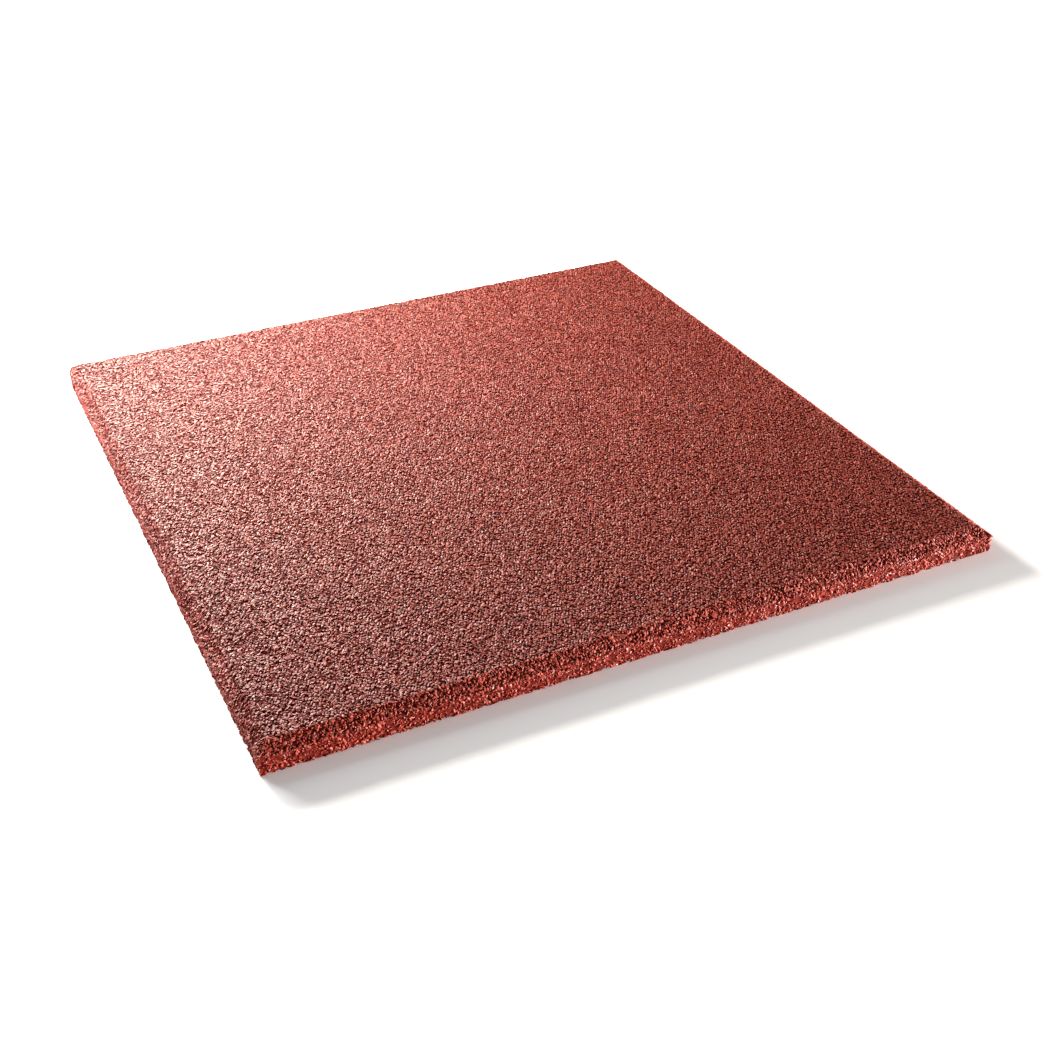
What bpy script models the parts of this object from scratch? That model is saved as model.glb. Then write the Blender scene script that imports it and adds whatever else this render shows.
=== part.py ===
"""Square rubber floor tile, moulded in one piece from bonded rubber crumb.

The tile lies flat with its wearing face up. Its sides are upright, and a sloping
chamfer runs round all four edges of the wearing face. Sizes are in metres, +Z is up,
and the origin is the middle of the flat underside.
"""

import bmesh
import bpy

# Driving dimensions
TILE_SIDE = 0.500
TILE_THICKNESS = 0.018
CHAMFER_WIDTH = 0.008  # measured across the top
CHAMFER_DEPTH = 0.006  # measured down the side

# Finish of the rubber crumb
CRUMB_COLOUR = (0.210, 0.050, 0.036, 1.0)
CRUMB_ROUGHNESS = 0.55
CRUMB_METALLIC = 0.0

# Names
COLLECTION_NAME = "rubber_floor_tile"
TILE_NAME = "rubber_tile"
MATERIAL_NAME = "red_brown_rubber_crumb"


def remove_objects():
    """Empty the scene of objects, such as the default cube."""
    for scene_object in list(bpy.data.objects):
        bpy.data.objects.remove(scene_object, do_unlink=True)


def new_collection(name):
    """Return a new collection that is linked to the scene."""
    collection = bpy.data.collections.new(name)
    bpy.context.scene.collection.children.link(collection)
    return collection


def crumb_material():
    """Return the matt red-brown finish of the bonded rubber crumb."""
    material = bpy.data.materials.new(MATERIAL_NAME)
    material.use_nodes = True
    shader = material.node_tree.nodes["Principled BSDF"]
    shader.inputs["Base Color"].default_value = CRUMB_COLOUR
    shader.inputs["Roughness"].default_value = CRUMB_ROUGHNESS
    shader.inputs["Metallic"].default_value = CRUMB_METALLIC
    material.diffuse_color = CRUMB_COLOUR
    return material


def tile_mesh():
    """Return the slab: a box as high as the upright sides, with the chamfered top on it."""
    side_height = TILE_THICKNESS - CHAMFER_DEPTH
    shape = bmesh.new()
    bmesh.ops.create_cube(shape, size=1.0)
    bmesh.ops.scale(shape, vec=(TILE_SIDE, TILE_SIDE, side_height), verts=shape.verts)
    bmesh.ops.translate(shape, vec=(0.0, 0.0, side_height / 2), verts=shape.verts)

    # The top face draws in by the chamfer's width while it rises by the chamfer's depth
    top_face = max(shape.faces, key=lambda face: face.calc_center_median().z)
    bmesh.ops.inset_region(
        shape,
        faces=[top_face],
        thickness=CHAMFER_WIDTH,
        depth=CHAMFER_DEPTH,
        use_even_offset=True,
    )

    mesh = bpy.data.meshes.new(TILE_NAME)
    shape.to_mesh(mesh)
    shape.free()
    return mesh


def main():
    remove_objects()
    collection = new_collection(COLLECTION_NAME)
    tile = bpy.data.objects.new(TILE_NAME, tile_mesh())
    tile.data.materials.append(crumb_material())
    collection.objects.link(tile)


main()
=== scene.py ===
"""Looks of a square rubber floor tile, moulded from bonded rubber crumb.

Every crumb of the surface is a small closed chip of its own, with flat facets, set in a
slightly smaller core, painted dark for the shade in the pores between the crumbs. Each
crumb's colour is painted darker and redder from its peak down into the gaps, as painted
shade. The crumbs lie in beds: the wearing face, the four chamfers, the four upright sides
and the underside. Sizes are in metres, +Z is up, and the origin is the middle of the underside.
"""

import math
from dataclasses import dataclass

import bmesh
import bpy
import numpy as np
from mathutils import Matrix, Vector


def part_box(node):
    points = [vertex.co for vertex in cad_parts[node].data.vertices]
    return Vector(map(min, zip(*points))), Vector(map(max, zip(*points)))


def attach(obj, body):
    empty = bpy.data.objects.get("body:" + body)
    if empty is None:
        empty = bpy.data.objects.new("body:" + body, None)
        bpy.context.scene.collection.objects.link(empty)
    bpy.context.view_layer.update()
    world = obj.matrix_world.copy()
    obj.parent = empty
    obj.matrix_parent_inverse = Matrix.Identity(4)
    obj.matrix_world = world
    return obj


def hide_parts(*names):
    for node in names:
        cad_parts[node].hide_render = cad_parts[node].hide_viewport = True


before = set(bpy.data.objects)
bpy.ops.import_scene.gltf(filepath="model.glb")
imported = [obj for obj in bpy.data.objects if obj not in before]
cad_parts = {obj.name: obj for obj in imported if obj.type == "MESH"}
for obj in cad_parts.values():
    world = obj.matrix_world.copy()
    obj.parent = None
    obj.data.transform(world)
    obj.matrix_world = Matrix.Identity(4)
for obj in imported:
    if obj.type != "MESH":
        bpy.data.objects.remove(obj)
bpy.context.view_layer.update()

TILE = "rubber_tile"
BODY = "root"
SEED = 2170

# The slab, read from the frame
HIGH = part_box(TILE)[1]
HALF = HIGH[0]
THICKNESS = HIGH[2]
SAME = 1e-5
CORNERS = np.array([vertex.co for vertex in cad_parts[TILE].data.vertices])
TOP_HALF = float(CORNERS[CORNERS[:, 2] > THICKNESS - SAME, 0].max())
SIDE_TOP = float(CORNERS[CORNERS[:, 0] > HALF - SAME, 2].max())
CHAMFER_WIDTH = HALF - TOP_HALF
CHAMFER_DEPTH = THICKNESS - SIDE_TOP
CHAMFER_SLOPE = math.hypot(CHAMFER_WIDTH, CHAMFER_DEPTH)

# How far the core lies under the crumbs' outer faces
CORE_INSET = 0.0012
CORE_UNDERSIDE_INSET = 0.0007
CORE_SIDE_TOP_DROP = CORE_INSET * 0.5  # how much lower the core's chamfer starts

# The worn corner at the back left: its radius seen from above, and the facets that round it
WORN_RADIUS = 0.010
WORN_MIDDLE = np.array([-1.0, 1.0, 0.0]) * (HALF - WORN_RADIUS)
WORN_DIRECTIONS = [math.radians(degrees) for degrees in (105, 120, 135, 150, 165)]

# Triangles in one piece stay well under 200,000
MOST_TRIANGLES = 180_000

# How far a crumb strays from its place in the honeycomb, as a share of the pitch
PLACE_JITTER = 0.18

# How far a rim corner turns from its even place, as a share of the angle between corners
CORNER_JITTER = 0.28

# Shortest and longest way from a crumb's middle to a rim corner, as shares of its radius
SHORTEST_REACH, LONGEST_REACH = 0.78, 1.22

# How far the peak lies off a crumb's middle, as a share of its radius
PEAK_JITTER = 0.22

# Flattest and steepest peak, as shares of the bed's mean dome
FLATTEST_DOME, STEEPEST_DOME = 0.4, 1.6

# The most that a crumb's point draws back from a face of the slab that it would cross
MOST_PLAY = 0.00035

# How deep in the surface a crumb's rim counts, from 0 at its peak to 1 at its hidden point;
# the finishes paint shade by this depth, so the rim is painted darker than the peak
RIM_DEPTH = 0.3

# A crumb's two finishes: on the facets that are seen, and on the flanks down in the gaps
FACET, FLANK = 0, 1


@dataclass
class Bed:
    """A flat stretch of the tile's surface: its middle, two directions in it and its size."""

    kind: str
    middle: np.ndarray
    across: np.ndarray
    up: np.ndarray
    width: float
    height: float
    taper: float = 0.0  # how far each end draws in from the bed's lower to its upper edge

    @property
    def outward(self):
        return np.cross(self.across, self.up)


@dataclass
class Chips:
    """How the crumbs of a bed are shaped and laid. Lengths are in metres."""

    pitch: float  # mean spacing
    radius: float  # mean radius, as a share of the pitch
    spread: float  # how unlike their sizes are
    stretch: float  # how much longer than wide they are on average
    dome: float  # height of the peak over the rim
    tilt: float  # slope of a crumb against the bed
    ragged: float  # unevenness of a rim's height
    recess: float  # how far crumbs lie under the bed's plane
    depth: float  # from the rim down to the hidden point
    missing: float = 0.0  # share of crumbs that have come off and left a pit
    corners: tuple = (4, 4, 5)  # the corner counts to draw from


def tile_beds():
    """Return the beds: one on top, one underneath and two along each of the four sides."""
    x, y, z = np.eye(3)
    beds = [
        Bed("wearing_face", z * THICKNESS, x, y, 2 * TOP_HALF, 2 * TOP_HALF),
        Bed("underside", z * 0.0, x, -y, 2 * HALF, 2 * HALF),
    ]
    for across, outward in ((x, -y), (y, x), (-x, y), (-y, -x)):
        side_middle = outward * HALF + z * SIDE_TOP / 2
        beds.append(Bed("side", side_middle, across, z, 2 * HALF, SIDE_TOP))
        slope = (z * CHAMFER_DEPTH - outward * CHAMFER_WIDTH) / CHAMFER_SLOPE
        foot = outward * HALF + z * SIDE_TOP
        chamfer_middle = foot + slope * CHAMFER_SLOPE / 2
        beds.append(
            Bed("chamfer", chamfer_middle, across, slope, 2 * HALF, CHAMFER_SLOPE, CHAMFER_WIDTH)
        )
    return beds


def crumb_places(rng, bed, chips):
    """Return where crumbs lie in a bed: a honeycomb of their pitch, each moved a little."""
    row_gap = chips.pitch * math.sqrt(3) / 2
    rows = max(1, round(bed.height / row_gap))
    columns = max(1, round(bed.width / chips.pitch))
    row, column = np.mgrid[0:rows, 0:columns].reshape(2, -1).astype(float)
    # Every other row lies half a column further along
    across = (column + 0.25 + 0.5 * (row % 2)) / columns * bed.width - bed.width / 2
    up = (row + 0.5) / rows * bed.height - bed.height / 2
    jitter = rng.normal(0, PLACE_JITTER * chips.pitch, (len(row), 2))
    places = np.stack([across, up], 1) + jitter
    end = bed.width / 2 - bed.taper * (places[:, 1] / bed.height + 0.5)
    inside = (np.abs(places[:, 0]) < end) & (np.abs(places[:, 1]) < bed.height / 2)
    kept = rng.uniform(0, 1, len(places)) >= chips.missing
    return places[inside & kept]


def hull_planes(beds):
    """Return the outward direction and the distance from the origin of each face of the slab."""
    outward = np.array([bed.outward for bed in beds])
    distance = np.array([bed.outward @ bed.middle for bed in beds])
    worn_outward, worn_distance = worn_planes()
    return np.concatenate([outward, worn_outward]), np.concatenate([distance, worn_distance])


def worn_planes():
    """Return the outward directions and distances of the upright facets round the worn corner."""
    outward = np.array([(math.cos(turn), math.sin(turn), 0.0) for turn in WORN_DIRECTIONS])
    distance = outward @ WORN_MIDDLE + WORN_RADIUS
    return outward, distance


def press_inside(points, planes, play):
    """Move points that stand out of the slab back to its faces, less a play for each point."""
    for outward, distance in zip(*planes):
        beyond = points @ outward - (distance - play)
        points = points - np.maximum(beyond, 0)[..., None] * outward
    return points


def make_crumbs(rng, bed, chips, planes, corner_count, places):
    """Return the vertices, (crumbs, corners + 2, 3): a rim, then the peak and the hidden point."""
    count = len(places)
    size = chips.pitch * chips.radius * np.exp(rng.normal(0, chips.spread, count))
    step = 2 * math.pi / corner_count
    angle = rng.uniform(0, 2 * math.pi, (count, 1)) + step * np.arange(corner_count)
    angle = angle + rng.uniform(-CORNER_JITTER, CORNER_JITTER, (count, corner_count)) * step
    reach = size[:, None] * rng.uniform(SHORTEST_REACH, LONGEST_REACH, (count, corner_count))
    # These draws have a mean of 1, so that most crumbs are nearly round and a few are long
    stretch = np.sqrt(1 + (chips.stretch - 1) * rng.gamma(2.0, 0.5, count))[:, None]
    long_way = reach * np.cos(angle) * stretch
    short_way = reach * np.sin(angle) / stretch
    turn = rng.uniform(0, math.pi, (count, 1))
    rim_u = long_way * np.cos(turn) - short_way * np.sin(turn)
    rim_v = long_way * np.sin(turn) + short_way * np.cos(turn)

    slope = rng.normal(0, chips.tilt, (count, 2))
    rim_height = rim_u * slope[:, :1] + rim_v * slope[:, 1:]
    rim_height = rim_height + rng.normal(0, chips.ragged, (count, corner_count))
    peak_u, peak_v = rng.normal(0, PEAK_JITTER, (2, count, 1)) * size[:, None]
    dome = chips.dome * rng.uniform(FLATTEST_DOME, STEEPEST_DOME, (count, 1))
    peak_height = peak_u * slope[:, :1] + peak_v * slope[:, 1:] + dome
    point = np.zeros((count, 1))
    point_height = rim_height.min(1, keepdims=True) - chips.depth

    u = np.concatenate([rim_u, peak_u, point], 1) + places[:, :1]
    v = np.concatenate([rim_v, peak_v, point], 1) + places[:, 1:]
    height = np.concatenate([rim_height, peak_height, point_height], 1)
    # A crumb's highest point lies in the bed's plane, or a recess under it
    height = height - height.max(1, keepdims=True)
    height = height - np.abs(rng.normal(0, chips.recess, count))[:, None]

    points = (
        bed.middle
        + u[..., None] * bed.across
        + v[..., None] * bed.up
        + height[..., None] * bed.outward
    )
    play = rng.uniform(0.0, MOST_PLAY, points.shape[:2])
    return press_inside(points, planes, play)


def crumb_faces(corner_count):
    """Return a crumb's triangles: the facets round its peak, then those round its hidden point."""
    peak, point = corner_count, corner_count + 1
    after = [(corner + 1) % corner_count for corner in range(corner_count)]
    facets = [(corner, after[corner], peak) for corner in range(corner_count)]
    flanks = [(after[corner], corner, point) for corner in range(corner_count)]
    return np.array(facets + flanks)


def crumb_map(corner_count):
    """Return UV places for crumb_faces, spread out as a star round the middle of a unit cell."""
    rim_radius, tip_radius = 0.27, 0.47
    step = 2 * math.pi / corner_count

    def at(radius, turns):
        return 0.5 + radius * math.cos(turns * step), 0.5 + radius * math.sin(turns * step)

    facets, flanks = [], []
    for corner in range(corner_count):
        here, there = at(rim_radius, corner), at(rim_radius, corner + 1)
        facets.append((here, there, (0.5, 0.5)))
        flanks.append((there, here, at(tip_radius, corner + 0.5)))
    return np.array(facets + flanks)


def fill_bed(rng, bed, chips, planes):
    """Return a bed's crumbs as a list of (corner count, vertices), one for each corner count."""
    places = crumb_places(rng, bed, chips)
    corner_counts = rng.choice(chips.corners, len(places))
    return [
        (corners, make_crumbs(rng, bed, chips, planes, corners, places[corner_counts == corners]))
        for corners in sorted(set(chips.corners))
    ]


def crumb_piece(rng, name, groups, facet_finish, flank_finish):
    """Join groups of crumbs into one object, with a random shade for each crumb."""
    crumb_total = sum(len(points) for _, points in groups)
    cells = math.ceil(math.sqrt(crumb_total))
    vertices, faces, uvs, shades, depths, finishes = [], [], [], [], [], []
    first_vertex = first_crumb = 0
    for corner_count, points in groups:
        count, per_crumb, _ = points.shape
        starts = first_vertex + per_crumb * np.arange(count)
        faces.append((starts[:, None, None] + crumb_faces(corner_count)).reshape(-1, 3))
        cell = first_crumb + np.arange(count)
        corner = np.stack([cell % cells, cell // cells], 1)[:, None, None]
        uvs.append(((corner + crumb_map(corner_count)) / cells).reshape(-1, 2))
        shades.append(np.repeat(rng.uniform(0, 1, count), per_crumb))
        # Each vertex's depth, by which the finishes paint shade darker down into the gaps
        depths.append(np.tile([RIM_DEPTH] * corner_count + [0.0, 1.0], count))
        finishes.append(np.tile(np.repeat([FACET, FLANK], corner_count), count))
        vertices.append(points.reshape(-1, 3))
        first_vertex += count * per_crumb
        first_crumb += count
    vertices, faces = np.concatenate(vertices), np.concatenate(faces)

    mesh = bpy.data.meshes.new(name)
    mesh.vertices.add(len(vertices))
    mesh.vertices.foreach_set("co", vertices.astype(np.float32).ravel())
    mesh.loops.add(faces.size)
    mesh.loops.foreach_set("vertex_index", faces.astype(np.int32).ravel())
    mesh.polygons.add(len(faces))
    mesh.polygons.foreach_set("loop_start", np.arange(0, faces.size, 3, dtype=np.int32))
    mesh.polygons.foreach_set("material_index", np.concatenate(finishes).astype(np.int32))
    mesh.update(calc_edges=True)
    mesh.shade_flat()
    for label, values in (("crumb_shade", shades), ("crumb_depth", depths)):
        attribute = mesh.attributes.new(label, "FLOAT", "POINT")
        attribute.data.foreach_set("value", np.concatenate(values).astype(np.float32))
    layer = mesh.uv_layers.new(name="OFBake")
    layer.data.foreach_set("uv", np.concatenate(uvs).astype(np.float32).ravel())
    mesh.materials.append(facet_finish)
    mesh.materials.append(flank_finish)

    piece = bpy.data.objects.new(name, mesh)
    bpy.context.scene.collection.objects.link(piece)
    return piece


def split_groups(groups, most_triangles):
    """Yield groups of crumbs in lots that hold about as many triangles each, under a limit."""
    total = sum(len(points) * len(crumb_faces(corners)) for corners, points in groups)
    lots = math.ceil(total / most_triangles)
    for lot in range(lots):
        yield [(corners, points[lot::lots]) for corners, points in groups]


def core_piece(material):
    """Return the core: the slab's own shape, drawn in under the crumbs, painted dark for the shade
    in the pores.
    """
    half = HALF - CORE_INSET
    foot = CORE_UNDERSIDE_INSET
    side_top = SIDE_TOP - CORE_SIDE_TOP_DROP
    shape = bmesh.new()
    bmesh.ops.create_cube(shape, size=1.0)
    bmesh.ops.scale(shape, vec=(2 * half, 2 * half, side_top - foot), verts=shape.verts)
    bmesh.ops.translate(shape, vec=(0.0, 0.0, (side_top + foot) / 2), verts=shape.verts)
    top_face = max(shape.faces, key=lambda face: face.calc_center_median().z)
    rise = THICKNESS - CORE_INSET - side_top
    bmesh.ops.inset_region(
        shape, faces=[top_face], thickness=CHAMFER_WIDTH, depth=rise, use_even_offset=True
    )
    for outward, distance in zip(*worn_planes()):
        bmesh.ops.bisect_plane(
            shape,
            geom=[*shape.verts, *shape.edges, *shape.faces],
            plane_co=outward * (distance - CORE_INSET),
            plane_no=outward,
            clear_outer=True,
        )
        rim = [edge for edge in shape.edges if edge.is_boundary]
        bmesh.ops.holes_fill(shape, edges=rim)
    mesh = bpy.data.meshes.new("tile_core")
    shape.to_mesh(mesh)
    shape.free()
    mesh.materials.append(material)
    core = bpy.data.objects.new("tile_core", mesh)
    bpy.context.scene.collection.objects.link(core)
    return core


class Nodes:
    """A short way to add shader nodes to a material and link them."""

    def __init__(self, owner):
        owner.use_nodes = True
        self.tree = owner.node_tree

    def add(self, kind, inputs=None, **settings):
        node = self.tree.nodes.new(kind)
        for key, value in settings.items():
            setattr(node, key, value)
        for key, value in (inputs or {}).items():
            self.feed(node.inputs[key], value)
        return node

    def feed(self, socket, value):
        if isinstance(value, bpy.types.NodeSocket):
            self.tree.links.new(value, socket)
        else:
            socket.default_value = value

    def ramp(self, factor, stops):
        """Return the colour of a ramp over (position, colour) stops."""
        node = self.add("ShaderNodeValToRGB", {"Fac": factor})
        elements = node.color_ramp.elements
        while len(elements) < len(stops):
            elements.new(0.5)
        for element, (position, colour) in zip(elements, stops):
            element.position = position
            element.color = (*colour, 1.0)
        return node.outputs["Color"]

    def scaled(self, value, low, high):
        """Map 0 to 1 onto low to high."""
        node = self.add("ShaderNodeMapRange", {"Value": value, "To Min": low, "To Max": high})
        return node.outputs["Result"]


def crumb_material(name, brightness, smoothest, roughest, shine):
    """Return a coloured crumb finish: each crumb its own red-brown, under a thin binder, painted
    darker and redder down into the gaps as painted shade.

    Roughness differs from crumb to crumb, between smoothest and roughest.
    """
    material = bpy.data.materials.new(name)
    nodes = Nodes(material)
    shader = nodes.tree.nodes["Principled BSDF"]
    shade = nodes.add("ShaderNodeAttribute", attribute_name="crumb_shade").outputs["Fac"]
    place = nodes.add("ShaderNodeTexCoord").outputs["Object"]

    colour = nodes.ramp(
        shade,
        (
            (0.00, (0.080, 0.008, 0.005)),
            (0.03, (0.205, 0.022, 0.012)),
            (0.25, (0.235, 0.027, 0.014)),
            (0.85, (0.270, 0.034, 0.018)),
            (1.00, (0.350, 0.056, 0.030)),
        ),
    )
    # Painted shade: a crumb is painted a little brighter at its peak and darker and redder at its
    # rim and down its flanks into the gaps, by its depth
    painted_gap_shade = nodes.ramp(
        nodes.add("ShaderNodeAttribute", attribute_name="crumb_depth").outputs["Fac"],
        (
            (0.0, (1.10, 1.10, 1.10)),
            (0.3, (0.66, 0.58, 0.58)),
            (0.5, (0.42, 0.24, 0.22)),
            (0.8, (0.24, 0.10, 0.09)),
        ),
    )
    patches = nodes.add("ShaderNodeTexNoise", {"Vector": place, "Scale": 14.0, "Detail": 3.0})
    mottle = nodes.add("ShaderNodeTexNoise", {"Vector": place, "Scale": 900.0, "Detail": 1.0})
    broad_tone = nodes.scaled(patches.outputs["Fac"], 0.90 * brightness, 1.10 * brightness)
    fine_tone = nodes.scaled(mottle.outputs["Fac"], -0.1, 2.1)
    tone = nodes.add("ShaderNodeMath", {0: broad_tone, 1: fine_tone}, operation="MULTIPLY")
    toned = nodes.add(
        "ShaderNodeVectorMath", {0: colour, "Scale": tone.outputs["Value"]}, operation="SCALE"
    )
    # The toned colour times the painted gap shade
    gap_shaded = nodes.add(
        "ShaderNodeVectorMath", {0: toned.outputs["Vector"], 1: painted_gap_shade}, operation="MULTIPLY"
    )
    nodes.feed(shader.inputs["Base Color"], gap_shaded.outputs["Vector"])

    # The shade is spread over a wide range, so that gloss doesn't follow colour
    spread = nodes.add("ShaderNodeMath", {0: shade, 1: 977.0}, operation="MULTIPLY")
    gloss = nodes.add(
        "ShaderNodeTexWhiteNoise", {"W": spread.outputs["Value"]}, noise_dimensions="1D"
    )
    nodes.feed(shader.inputs["Roughness"], nodes.scaled(gloss.outputs["Value"], smoothest, roughest))
    shader.inputs["Specular IOR Level"].default_value = shine

    grit = nodes.add("ShaderNodeTexNoise", {"Vector": place, "Scale": 2600.0, "Detail": 2.0})
    bump = nodes.add(
        "ShaderNodeBump",
        {"Height": grit.outputs["Fac"], "Strength": 0.35, "Distance": 0.00012},
    )
    nodes.feed(shader.inputs["Normal"], bump.outputs["Normal"])
    return material


def core_material():
    """Return the finish of the core, painted dark for the shade in the pores between the crumbs:
    matt and rough.
    """
    material = bpy.data.materials.new("painted_pore_shade")
    nodes = Nodes(material)
    shader = nodes.tree.nodes["Principled BSDF"]
    place = nodes.add("ShaderNodeTexCoord").outputs["Object"]
    pores = nodes.add("ShaderNodeTexNoise", {"Vector": place, "Scale": 500.0, "Detail": 4.0})
    # Painted shade: near black-red for the shade down in the pores
    colour = nodes.ramp(
        pores.outputs["Fac"], ((0.3, (0.055, 0.003, 0.002)), (0.7, (0.150, 0.010, 0.005)))
    )
    nodes.feed(shader.inputs["Base Color"], colour)
    nodes.feed(shader.inputs["Roughness"], nodes.scaled(pores.outputs["Fac"], 0.7, 0.95))
    shader.inputs["Specular IOR Level"].default_value = 0.1
    bump = nodes.add(
        "ShaderNodeBump", {"Height": pores.outputs["Fac"], "Strength": 0.8, "Distance": 0.0008}
    )
    nodes.feed(shader.inputs["Normal"], bump.outputs["Normal"])
    return material


def aim(placed, target):
    """Turn a camera or a lamp, where it stands, to look at a point."""
    direction = Vector(target) - placed.location
    placed.rotation_euler = direction.to_track_quat("-Z", "Y").to_euler()


def area_lamp(name, place, target, size, power, mirrored=True, colour=(1.0, 1.0, 1.0)):
    """Add a rectangular soft box, unseen itself, that shines from place at target.

    One that isn't mirrored lights a surface but leaves no gloss on it.
    """
    light = bpy.data.lights.new(name, "AREA")
    light.shape = "RECTANGLE"
    light.size, light.size_y = size
    light.energy = power
    light.color = colour
    lamp = bpy.data.objects.new(name, light)
    lamp.location = place
    aim(lamp, target)
    lamp.visible_camera = False
    lamp.visible_glossy = mirrored
    bpy.context.scene.collection.objects.link(lamp)


def make_floor():
    """Add the plain pale floor that the tile lies on."""
    reach = 30.0
    bpy.ops.mesh.primitive_plane_add(size=2 * reach, location=(0.0, 0.0, 0.0))
    floor = bpy.context.object
    floor.name = "floor"
    material = bpy.data.materials.new("pale_floor")
    nodes = Nodes(material)
    shader = nodes.tree.nodes["Principled BSDF"]
    place = nodes.add("ShaderNodeTexCoord").outputs["Object"]
    clouds = nodes.add("ShaderNodeTexNoise", {"Vector": place, "Scale": 3.0, "Detail": 2.0})
    colour = nodes.ramp(
        clouds.outputs["Fac"], ((0.3, (0.88, 0.88, 0.88)), (0.7, (0.91, 0.91, 0.91)))
    )
    nodes.feed(shader.inputs["Base Color"], colour)
    shader.inputs["Roughness"].default_value = 0.9
    shader.inputs["Specular IOR Level"].default_value = 0.1
    floor.data.materials.append(material)


def make_world():
    """Fill the studio with an even white light."""
    world = bpy.data.worlds.new("studio")
    bpy.context.scene.world = world
    nodes = Nodes(world)
    background = nodes.tree.nodes["Background"]
    background.inputs["Color"].default_value = (1.0, 1.0, 1.0, 1.0)
    background.inputs["Strength"].default_value = 0.31
    world.cycles_visibility.glossy = False


def make_lamps():
    """Light the tile from behind on the left, as the shadow shows, and fill in from the right."""
    warm = (1.0, 0.93, 0.83)
    pale = (1.0, 0.97, 0.93)
    area_lamp(
        "key",
        place=(-0.25, 0.80, 0.385),
        target=(-0.11, 0.10, 0.0),
        size=(0.40, 0.20),
        power=44.5,
        colour=warm,
    )
    area_lamp(
        "left_wash",
        place=(-0.62, 0.70, 0.29),
        target=(-0.25, 0.08, 0.0),
        size=(0.4, 0.2),
        power=19.0,
    )
    area_lamp(
        "back_wash",
        place=(-0.11, 0.20, 0.30),
        target=(-0.11, 0.20, 0.0),
        size=(0.4, 0.4),
        power=1.8,
        mirrored=False,
    )
    area_lamp(
        "side_fill",
        place=(1.70, -1.15, 0.085),
        target=(0.10, -0.25, 0.01),
        size=(0.4, 0.12),
        power=200.0,
        colour=pale,
    )
    area_lamp(
        "far_floor",
        place=(0.4, 0.75, 0.60),
        target=(0.4, 1.6, 0.0),
        size=(2.0, 0.3),
        power=60.0,
        mirrored=False,
    )


def make_camera():
    """Add the camera where the photograph was taken from."""
    data = bpy.data.cameras.new("camera")
    data.sensor_width = 36.0
    data.lens = 49.62
    data.shift_x = 0.0238
    camera = bpy.data.objects.new("camera", data)
    camera.location = (-0.3792, -0.8221, 0.5397)
    aim(camera, (-0.0345, -0.0959, 0.0090))
    bpy.context.scene.collection.objects.link(camera)
    bpy.context.scene.camera = camera


# Crumbs of each kind of bed
CHIPS = {
    "wearing_face": Chips(
        pitch=0.00190, radius=0.54, spread=0.15, stretch=1.4, dome=0.00040,
        tilt=0.15, ragged=0.00012, recess=0.00028, depth=0.0012, missing=0.005, corners=(4, 5),
    ),
    "chamfer": Chips(
        pitch=0.00175, radius=0.56, spread=0.26, stretch=1.6, dome=0.00048,
        tilt=0.30, ragged=0.00016, recess=0.00040, depth=0.0012, missing=0.010,
    ),
    "side": Chips(
        pitch=0.00168, radius=0.56, spread=0.28, stretch=1.8, dome=0.00060,
        tilt=0.55, ragged=0.00020, recess=0.00055, depth=0.0012, missing=0.015,
    ),
    "underside": Chips(
        pitch=0.00450, radius=0.57, spread=0.20, stretch=1.3, dome=0.00012,
        tilt=0.05, ragged=0.00005, recess=0.00008, depth=0.0009, corners=(4,),
    ),
}

# Finish of each kind of bed's facets. Each bed's brightness is set to how bright it looks
# under its lamps, so the sides and chamfers are painted lighter than the wearing face: painted light
FINISHES = {
    "wearing_face": dict(
        name="worn_rubber_crumb", brightness=0.865, smoothest=0.53, roughest=0.69, shine=0.39
    ),
    "chamfer": dict(
        name="chamfer_rubber_crumb", brightness=1.09, smoothest=0.54, roughest=0.70, shine=0.26
    ),
    "side": dict(
        name="shredded_rubber_crumb", brightness=1.27, smoothest=0.42, roughest=0.66, shine=0.30
    ),
    "underside": dict(
        name="underside_rubber_crumb", brightness=1.0, smoothest=0.60, roughest=0.80, shine=0.30
    ),
}

# Finish of the flanks down in the gaps, the same everywhere
SHADED_FINISH = dict(
    name="shaded_rubber_crumb", brightness=1.1, smoothest=0.80, roughest=0.95, shine=0.0
)


def main():
    """Dress the slab with its crumbs and core, then add the studio."""
    rng = np.random.default_rng(SEED)
    finishes = {kind: crumb_material(**finish) for kind, finish in FINISHES.items()}
    flank_finish = crumb_material(**SHADED_FINISH)
    beds = tile_beds()
    planes = hull_planes(beds)

    groups = {kind: [] for kind in CHIPS}
    for bed in beds:
        groups[bed.kind] += fill_bed(rng, bed, CHIPS[bed.kind], planes)

    pieces = []
    for kind, crumbs in groups.items():
        for number, lot in enumerate(split_groups(crumbs, MOST_TRIANGLES), 1):
            name = f"{kind}_crumbs_{number}"
            pieces.append(crumb_piece(rng, name, lot, finishes[kind], flank_finish))

    core = core_piece(core_material())
    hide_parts(TILE)
    for piece in [core, *pieces]:
        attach(piece, BODY)

    make_floor()
    make_world()
    make_lamps()
    make_camera()
    bpy.context.scene.view_settings.view_transform = "Standard"


main()
